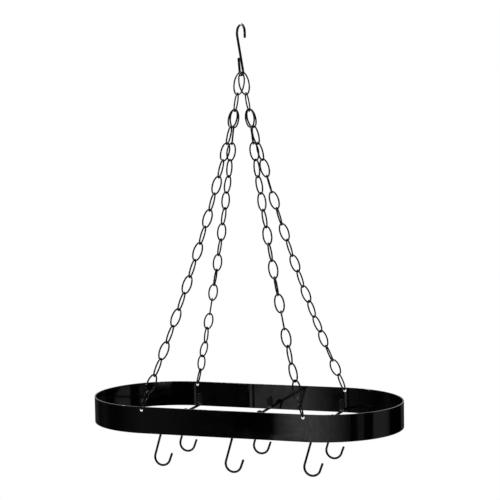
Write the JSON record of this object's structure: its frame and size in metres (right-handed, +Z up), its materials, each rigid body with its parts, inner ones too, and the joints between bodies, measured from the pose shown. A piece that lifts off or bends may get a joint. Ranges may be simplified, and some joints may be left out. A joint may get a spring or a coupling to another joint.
{
  "type": "hanging pot rack",
  "caption": "Hanging pot rack: a flat steel band in a long oval with cross bars and loose pot hooks, held up by chains that meet in ovals under an S-shaped ceiling hook.",
  "frame": {"origin": "the inside top of the ceiling hook's upper eye, where it rests on whatever holds it up", "axes": "+Z up, from the rack towards the ceiling; +X along the long oval to the right; +Y across the oval towards the back"},
  "size_m": [0.61, 0.3074, 0.8412],
  "materials": {
    "band_paint": "satin",
    "hook_paint": "gloss",
    "chain_steel": "gloss"
  },
  "bodies": {
    "ceiling_hook": {"ceiling_hook": "hook_paint"},
    "top_ovals": {"top_oval_left": "chain_steel", "top_oval_right": "chain_steel"},
    "rack": {"shared_link_left": "chain_steel", "shared_link_right": "chain_steel", "chain_front_left_links_01_02": "chain_steel", "chain_front_left_links_03_04": "chain_steel", "chain_front_left_links_05_06": "chain_steel", "chain_front_left_links_07_08": "chain_steel", "chain_front_left_links_09_10": "chain_steel", "chain_front_left_links_11_12": "chain_steel", "chain_front_left_links_13_14": "chain_steel", "chain_front_left_links_15_16": "chain_steel", "chain_front_left_links_17_18": "chain_steel", "chain_front_right_links_01_02": "chain_steel", "chain_front_right_links_03_04": "chain_steel", "chain_front_right_links_05_06": "chain_steel", "chain_front_right_links_07_08": "chain_steel", "chain_front_right_links_09_10": "chain_steel", "chain_front_right_links_11_12": "chain_steel", "chain_front_right_links_13_14": "chain_steel", "chain_front_right_links_15_16": "chain_steel", "chain_front_right_links_17_18": "chain_steel", "chain_back_left_links_01_02": "chain_steel", "chain_back_left_links_03_04": "chain_steel", "chain_back_left_links_05_06": "chain_steel", "chain_back_left_links_07_08": "chain_steel", "chain_back_left_links_09_10": "chain_steel", "chain_back_left_links_11_12": "chain_steel", "chain_back_left_links_13_14": "chain_steel", "chain_back_left_links_15_16": "chain_steel", "chain_back_left_links_17_18": "chain_steel", "chain_back_right_links_01_02": "chain_steel", "chain_back_right_links_03_04": "chain_steel", "chain_back_right_links_05_06": "chain_steel", "chain_back_right_links_07_08": "chain_steel", "chain_back_right_links_09_10": "chain_steel", "chain_back_right_links_11_12": "chain_steel", "chain_back_right_links_13_14": "chain_steel", "chain_back_right_links_15_16": "chain_steel", "chain_back_right_links_17_18": "chain_steel", "oval_band": "band_paint", "cross_bar_left": "band_paint", "cross_bar_middle": "band_paint", "cross_bar_right": "band_paint"},
    "pot_hook_front_left": {"pot_hook_front_left": "hook_paint"},
    "pot_hook_back_left": {"pot_hook_back_left": "hook_paint"},
    "pot_hook_front_middle": {"pot_hook_front_middle": "hook_paint"},
    "pot_hook_back_middle": {"pot_hook_back_middle": "hook_paint"},
    "pot_hook_front_right": {"pot_hook_front_right": "hook_paint"},
    "pot_hook_back_right": {"pot_hook_back_right": "hook_paint"}
  },
  "joints": [
    {"name": "top_ovals_sway", "type": "hinge", "parent": "ceiling_hook", "child": "top_ovals", "pos_m": [0, 0, -0.0928], "axis": [0.7314, -0.682, 0], "range_deg": [-15, 15]},
    {"name": "rack_sway", "type": "hinge", "parent": "top_ovals", "child": "rack", "pos_m": [0, 0, -0.1296], "axis": [1, 0, 0], "range_deg": [-15, 15]},
    {"name": "pot_hook_front_left_swing", "type": "hinge", "parent": "rack", "child": "pot_hook_front_left", "pos_m": [-0.151, -0.067, -0.75526], "axis": [0, 1, 0], "range_deg": [-40, 40]},
    {"name": "pot_hook_back_left_swing", "type": "hinge", "parent": "rack", "child": "pot_hook_back_left", "pos_m": [-0.151, 0.065, -0.75526], "axis": [0, 1, 0], "range_deg": [-40, 40]},
    {"name": "pot_hook_front_middle_swing", "type": "hinge", "parent": "rack", "child": "pot_hook_front_middle", "pos_m": [0, -0.087, -0.75526], "axis": [0, 1, 0], "range_deg": [-40, 40]},
    {"name": "pot_hook_back_middle_swing", "type": "hinge", "parent": "rack", "child": "pot_hook_back_middle", "pos_m": [0, 0.08, -0.75526], "axis": [0, 1, 0], "range_deg": [-40, 40]},
    {"name": "pot_hook_front_right_swing", "type": "hinge", "parent": "rack", "child": "pot_hook_front_right", "pos_m": [0.151, -0.079, -0.75526], "axis": [0, 1, 0], "range_deg": [-40, 40]},
    {"name": "pot_hook_back_right_swing", "type": "hinge", "parent": "rack", "child": "pot_hook_back_right", "pos_m": [0.151, 0.073, -0.75526], "axis": [0, 1, 0], "range_deg": [-40, 40]}
  ]
}
